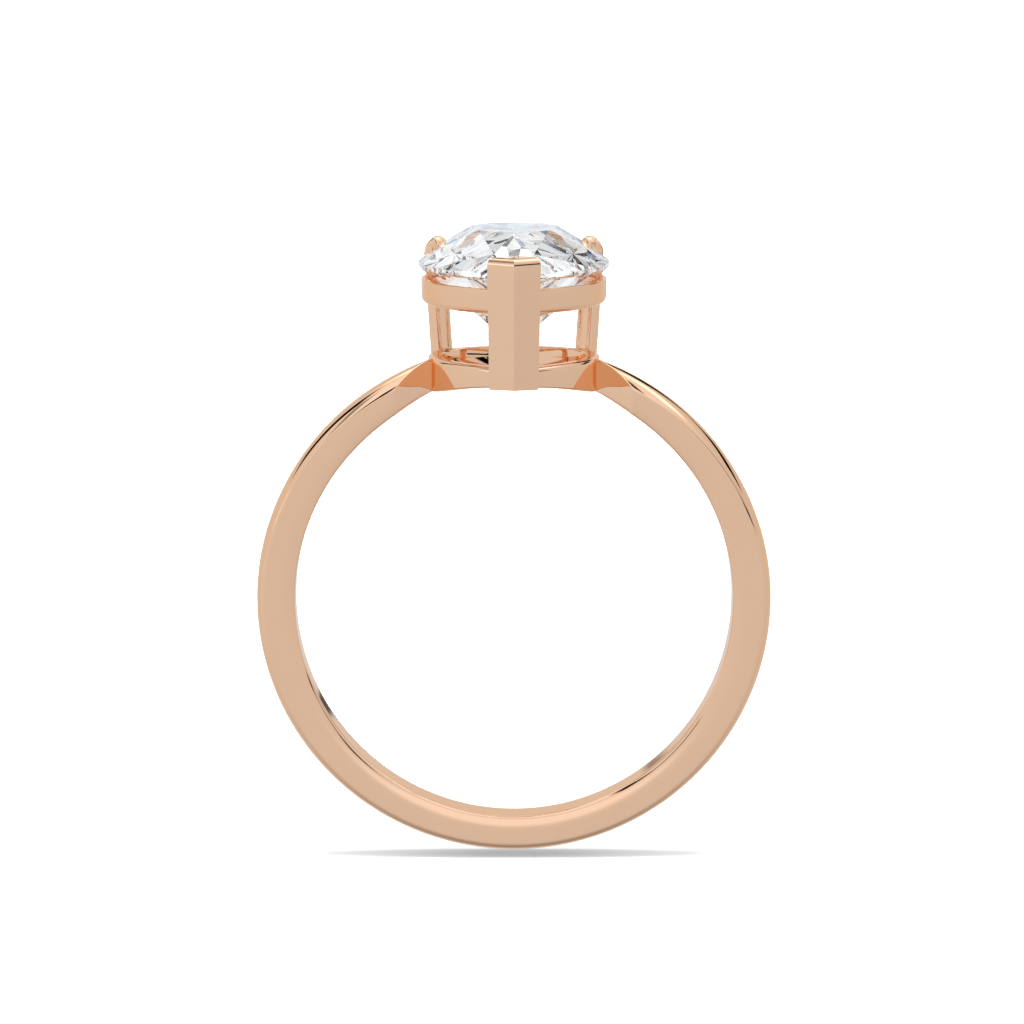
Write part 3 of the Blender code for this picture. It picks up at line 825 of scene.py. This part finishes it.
def make_overhead_lamp():
    """A broad soft lamp right above, which draws the ring's thin shadow along the table."""
    light = bpy.data.lights.new("overhead_lamp", "SUN")
    light.energy = LAMP_STRENGTH
    light.angle = math.radians(LAMP_SPREAD_DEGREES)
    lamp = bpy.data.objects.new("overhead_lamp", light)
    bpy.context.scene.collection.objects.link(lamp)
    lamp.visible_glossy = False
    lamp.visible_transmission = False


def direction(azimuth_degrees, elevation_degrees):
    """A direction from the ring: azimuth 0 is straight behind it (+Y) and 90 is to its right (+X)."""
    azimuth = math.radians(azimuth_degrees)
    elevation = math.radians(elevation_degrees)
    level_part = math.cos(elevation)
    return Vector((math.sin(azimuth) * level_part, math.cos(azimuth) * level_part, math.sin(elevation)))


def card_material(name, brightness, softness):
    """A glowing or black card whose edges fade out."""
    made, nodes, links = new_material(name)
    nodes.clear()
    place = nodes.new("ShaderNodeTexCoord")
    centred = nodes.new("ShaderNodeVectorMath")
    centred.operation = "SUBTRACT"
    centred.inputs[1].default_value = (0.5, 0.5, 0.0)
    distance = nodes.new("ShaderNodeVectorMath")
    distance.operation = "ABSOLUTE"
    parts = nodes.new("ShaderNodeSeparateXYZ")
    links.new(place.outputs["UV"], centred.inputs[0])
    links.new(centred.outputs["Vector"], distance.inputs[0])
    links.new(distance.outputs["Vector"], parts.inputs["Vector"])
    fades = []
    for axis, soft in zip("XY", softness):
        fade = nodes.new("ShaderNodeMapRange")
        fade.interpolation_type = "SMOOTHSTEP"
        fade.inputs["From Min"].default_value = 0.5
        fade.inputs["From Max"].default_value = 0.5 - soft
        links.new(parts.outputs[axis], fade.inputs["Value"])
        fades.append(fade.outputs["Result"])
    cover = nodes.new("ShaderNodeMath")
    cover.operation = "MULTIPLY"
    links.new(fades[0], cover.inputs[0])
    links.new(fades[1], cover.inputs[1])
    glow = nodes.new("ShaderNodeEmission")
    glow.inputs["Color"].default_value = STUDIO_TINT + (1.0,)
    glow.inputs["Strength"].default_value = brightness
    clear = nodes.new("ShaderNodeBsdfTransparent")
    mix = nodes.new("ShaderNodeMixShader")
    links.new(cover.outputs["Value"], mix.inputs["Fac"])
    links.new(clear.outputs["BSDF"], mix.inputs[1])
    links.new(glow.outputs["Emission"], mix.inputs[2])
    output = nodes.new("ShaderNodeOutputMaterial")
    links.new(mix.outputs["Shader"], output.inputs["Surface"])
    return made


def make_card(name, start, end, width_degrees, softness, brightness):
    """A flat card round the ring, from one direction to another, that only shows in reflections."""
    first = direction(*start) * STUDIO_RADIUS
    last = direction(*end) * STUDIO_RADIUS
    middle = (first + last) / 2
    across = middle.cross(last - first).normalized()
    across *= middle.length * math.tan(math.radians(width_degrees / 2))
    mesh_builder = bmesh.new()
    corners = (first - across, last - across, last + across, first + across)
    face = mesh_builder.faces.new([mesh_builder.verts.new(corner) for corner in corners])
    sheet = mesh_builder.loops.layers.uv.new("UVMap")
    for loop, place in zip(face.loops, ((0, 0), (1, 0), (1, 1), (0, 1))):
        loop[sheet].uv = place
    mesh = bpy.data.meshes.new(name)
    mesh_builder.to_mesh(mesh)
    mesh_builder.free()
    card = bpy.data.objects.new(name, mesh)
    bpy.context.scene.collection.objects.link(card)
    card.visible_camera = False
    card.visible_diffuse = False
    card.visible_transmission = False
    card.visible_shadow = False
    mesh.materials.append(card_material(name, brightness, softness))


def fill_ramp(ramp, stops):
    """Sets a colour ramp's stops; the first two in the list are its two ends."""
    for index, (position, colour) in enumerate(stops):
        stop = ramp.elements[index] if index < 2 else ramp.elements.new(position)
        stop.position = position
        stop.color = colour + (1.0,)


def make_sparkle_dome():
    """What the stone gathers light from: a pale dome with crisp dark gaps and a few coloured glints."""
    mesh_builder = bmesh.new()
    bmesh.ops.create_icosphere(mesh_builder, subdivisions=SPARKLE_SUBDIVISIONS, radius=SPARKLE_RADIUS)
    dome = object_of("sparkle_dome", mesh_builder)
    for kind in ("camera", "diffuse", "glossy", "shadow", "volume_scatter"):
        setattr(dome, "visible_" + kind, False)
    made, nodes, links = new_material("sparkle_light")
    nodes.clear()
    place = nodes.new("ShaderNodeTexCoord")
    gaps = nodes.new("ShaderNodeTexNoise")
    gaps.inputs["Scale"].default_value = SPARKLE_SCALE
    gaps.inputs["Detail"].default_value = SPARKLE_DETAIL
    gaps.inputs["Distortion"].default_value = SPARKLE_DISTORTION
    links.new(place.outputs["Generated"], gaps.inputs["Vector"])
    light = nodes.new("ShaderNodeValToRGB")
    fill_ramp(light.color_ramp, SPARKLE_LIGHT)
    links.new(gaps.outputs["Fac"], light.inputs["Fac"])
    glow = nodes.new("ShaderNodeEmission")
    links.new(light.outputs["Color"], glow.inputs["Color"])
    output = nodes.new("ShaderNodeOutputMaterial")
    links.new(glow.outputs["Emission"], output.inputs["Surface"])
    dome.data.materials.append(made)


def make_world():
    """White to the camera; to the ring, a room whose light rises from floor to ceiling."""
    world = bpy.data.worlds.new("studio")
    bpy.context.scene.world = world
    world.use_nodes = True
    nodes = world.node_tree.nodes
    links = world.node_tree.links
    place = nodes.new("ShaderNodeTexCoord")
    parts = nodes.new("ShaderNodeSeparateXYZ")
    links.new(place.outputs["Generated"], parts.inputs["Vector"])
    height = nodes.new("ShaderNodeMapRange")
    height.inputs["From Min"].default_value = -1.0
    links.new(parts.outputs["Z"], height.inputs["Value"])
    ramp = nodes.new("ShaderNodeValToRGB")
    ramp.color_ramp.interpolation = "EASE"
    stops = []
    for elevation, brightness in ROOM_LIGHT:
        height_share = (math.sin(math.radians(elevation)) + 1) / 2
        stops.append((height_share, (brightness, brightness, brightness)))
    fill_ramp(ramp.color_ramp, stops)
    links.new(height.outputs["Result"], ramp.inputs["Fac"])
    side = nodes.new("ShaderNodeMath")
    side.operation = "MULTIPLY_ADD"
    side.inputs[1].default_value = -SIDE_SHADE
    side.inputs[2].default_value = 1.0
    links.new(parts.outputs["X"], side.inputs[0])
    shaded = nodes.new("ShaderNodeVectorMath")
    shaded.operation = "SCALE"
    links.new(ramp.outputs["Color"], shaded.inputs[0])
    links.new(side.outputs["Value"], shaded.inputs["Scale"])
    cooled = nodes.new("ShaderNodeVectorMath")
    cooled.operation = "MULTIPLY"
    cooled.inputs[1].default_value = STUDIO_TINT
    links.new(shaded.outputs["Vector"], cooled.inputs[0])
    ray = nodes.new("ShaderNodeLightPath")
    lit = nodes.new("ShaderNodeMix")
    lit.data_type = "RGBA"
    links.new(ray.outputs["Is Glossy Ray"], lit.inputs["Factor"])
    links.new(shaded.outputs["Vector"], lit.inputs["A"])
    links.new(cooled.outputs["Vector"], lit.inputs["B"])
    seen = nodes.new("ShaderNodeMix")
    seen.data_type = "RGBA"
    seen.inputs["B"].default_value = (1.0, 1.0, 1.0, 1.0)
    links.new(ray.outputs["Is Camera Ray"], seen.inputs["Factor"])
    links.new(lit.outputs["Result"], seen.inputs["A"])
    links.new(seen.outputs["Result"], nodes["Background"].inputs["Color"])


def make_camera():
    elevation = math.radians(CAMERA_ELEVATION_DEGREES)
    forward = Vector((0.0, math.cos(elevation), -math.sin(elevation)))
    up = Vector((0.0, math.sin(elevation), math.cos(elevation)))
    lens = bpy.data.cameras.new("camera")
    lens.lens = CAMERA_LENS_MM
    lens.clip_start = CAMERA_NEAREST
    camera = bpy.data.objects.new("camera", lens)
    bpy.context.scene.collection.objects.link(camera)
    camera.location = up * CAMERA_AIM_RISE - forward * CAMERA_DISTANCE + Vector((CAMERA_AIM_X, 0.0, 0.0))
    camera.rotation_euler = (math.pi / 2 - elevation, 0.0, 0.0)
    bpy.context.scene.camera = camera


def allow_deep_reflections():
    """Polished metal and a cut stone pass light on many times."""
    settings = bpy.context.scene.cycles
    settings.max_bounces = MOST_BOUNCES
    settings.glossy_bounces = MOST_BOUNCES
    settings.transmission_bounces = MOST_BOUNCES
    settings.caustics_reflective = False
    settings.caustics_refractive = False


def finish_piece(piece, node, material):
    """Bakes the piece, gives it its material and lets it stand for its CAD node."""
    apply_modifiers(piece)
    piece.data.materials.clear()
    piece.data.materials.append(material)
    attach(piece, "root")
    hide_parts(node)


def main():
    make_camera()
    metal = rose_gold_material()
    stone_cutter = object_of("stone_seat_cutter", cut_stone(SEAT_GAP))
    finish_piece(make_band(), "shank", metal)
    finish_piece(make_base_ring(), "base_ring", metal)
    finish_piece(make_gallery_rail(), "gallery_rail", metal)
    finish_piece(make_v_prong(stone_cutter), "v_prong", metal)
    finish_piece(make_claw("claw_left_polished", -1, stone_cutter), "claw_left", metal)
    finish_piece(make_claw("claw_right_polished", 1, stone_cutter), "claw_right", metal)
    bpy.data.objects.remove(stone_cutter, do_unlink=True)
    diamond = object_of("diamond_cut", cut_stone(), FACET_SHARP_DEGREES)
    finish_piece(diamond, "diamond", diamond_material())
    make_floor()
    make_overhead_lamp()
    make_sparkle_dome()
    make_world()
    for name, start, end, width, softness, brightness in STUDIO_CARDS:
        make_card(name, start, end, width, softness, brightness)
    allow_deep_reflections()
    bpy.context.scene.view_settings.view_transform = "Standard"


main()
